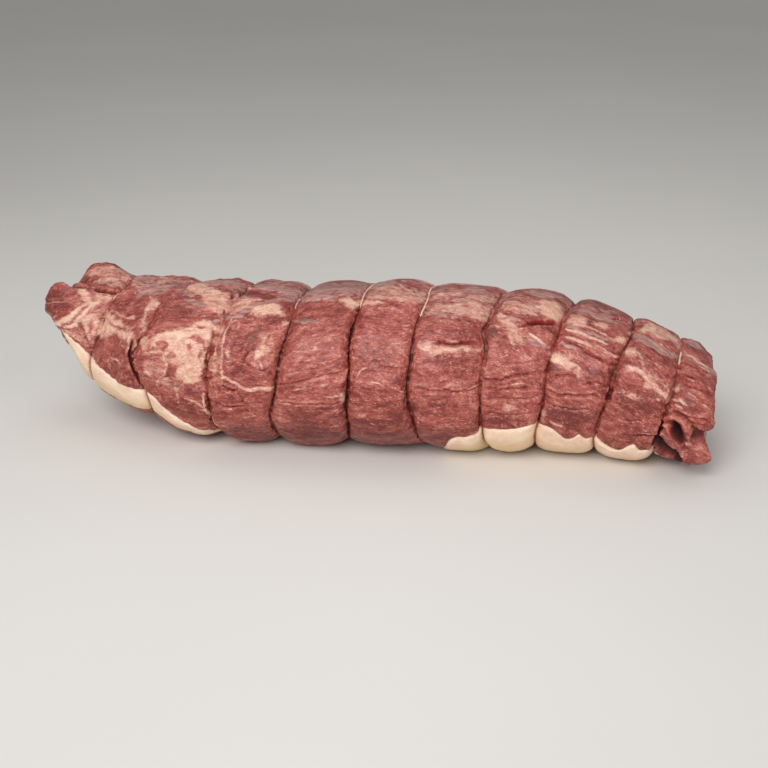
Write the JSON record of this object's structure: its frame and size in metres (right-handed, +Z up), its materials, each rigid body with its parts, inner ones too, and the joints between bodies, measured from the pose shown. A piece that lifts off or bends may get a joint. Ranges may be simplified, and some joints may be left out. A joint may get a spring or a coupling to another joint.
{
  "type": "rolled and tied beef joint",
  "caption": "Long raw beef joint for roasting, rolled round its fat cap and tied with loops of twine, tapering to a ragged thin end, with a curled flap at the thick end.",
  "frame": {"origin": "on the surface it rests on, under the middle of the joint's bounding box", "axes": "+X along the joint towards its thick end, -Y towards the shown side, +Z up"},
  "size_m": [0.4958, 0.1312, 0.1176],
  "materials": {
    "lean_beef": "moist raw lean beef, softly shining, with pale fat and membrane over parts of it",
    "beef_fat": "firm cream fat, smooth and slightly waxy",
    "twine": "plain cotton twine, matt, stained by the meat"
  },
  "bodies": {
    "root": {"beef": "lean_beef", "fat_cap": "beef_fat", "tie_01": "twine", "tie_02": "twine", "tie_03": "twine", "tie_04": "twine", "tie_05": "twine", "tie_06": "twine", "tie_07": "twine", "tie_08": "twine", "tie_09": "twine", "tie_10": "twine"}
  },
  "joints": []
}
